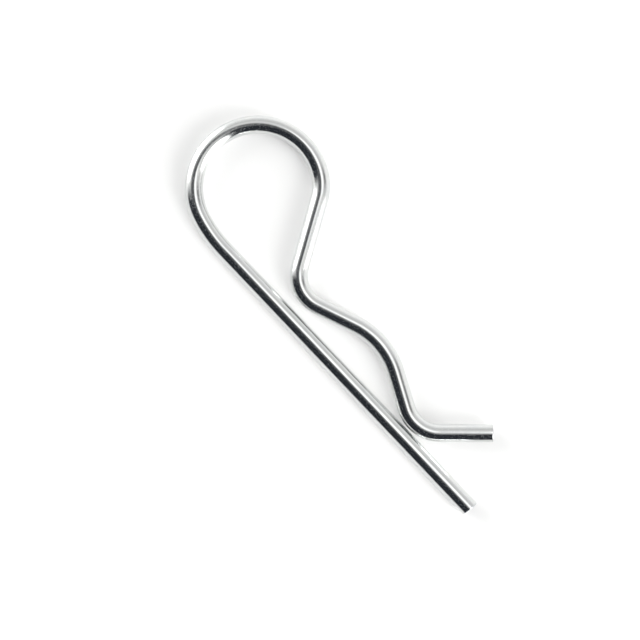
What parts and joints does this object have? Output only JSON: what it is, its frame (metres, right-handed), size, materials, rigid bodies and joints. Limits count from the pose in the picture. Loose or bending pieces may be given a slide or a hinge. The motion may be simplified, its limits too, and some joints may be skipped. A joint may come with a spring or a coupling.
{
  "type": "hitch clip pin",
  "caption": "Round spring wire bent into an R: a straight leg for a shaft's cross hole, a loop, and a wavy leg whose hump springs over the shaft.",
  "frame": {"origin": "on the straight leg's axis, where the held shaft's axis crosses it, under the crest of the wavy leg's hump", "axes": "+X along the straight leg to its free tip; +Y across to the wavy leg; +Z square to the plane of the clip, along the held shaft. The clip lies flat on z = -1.5 mm"},
  "size_m": [0.0745, 0.0245, 0.003],
  "materials": {
    "zinc_plated_wire": "bright zinc plate over drawn spring steel wire, mirror bright with fine pits and drawing lines"
  },
  "bodies": {
    "root": {"clip_wire": "zinc_plated_wire"}
  },
  "joints": []
}
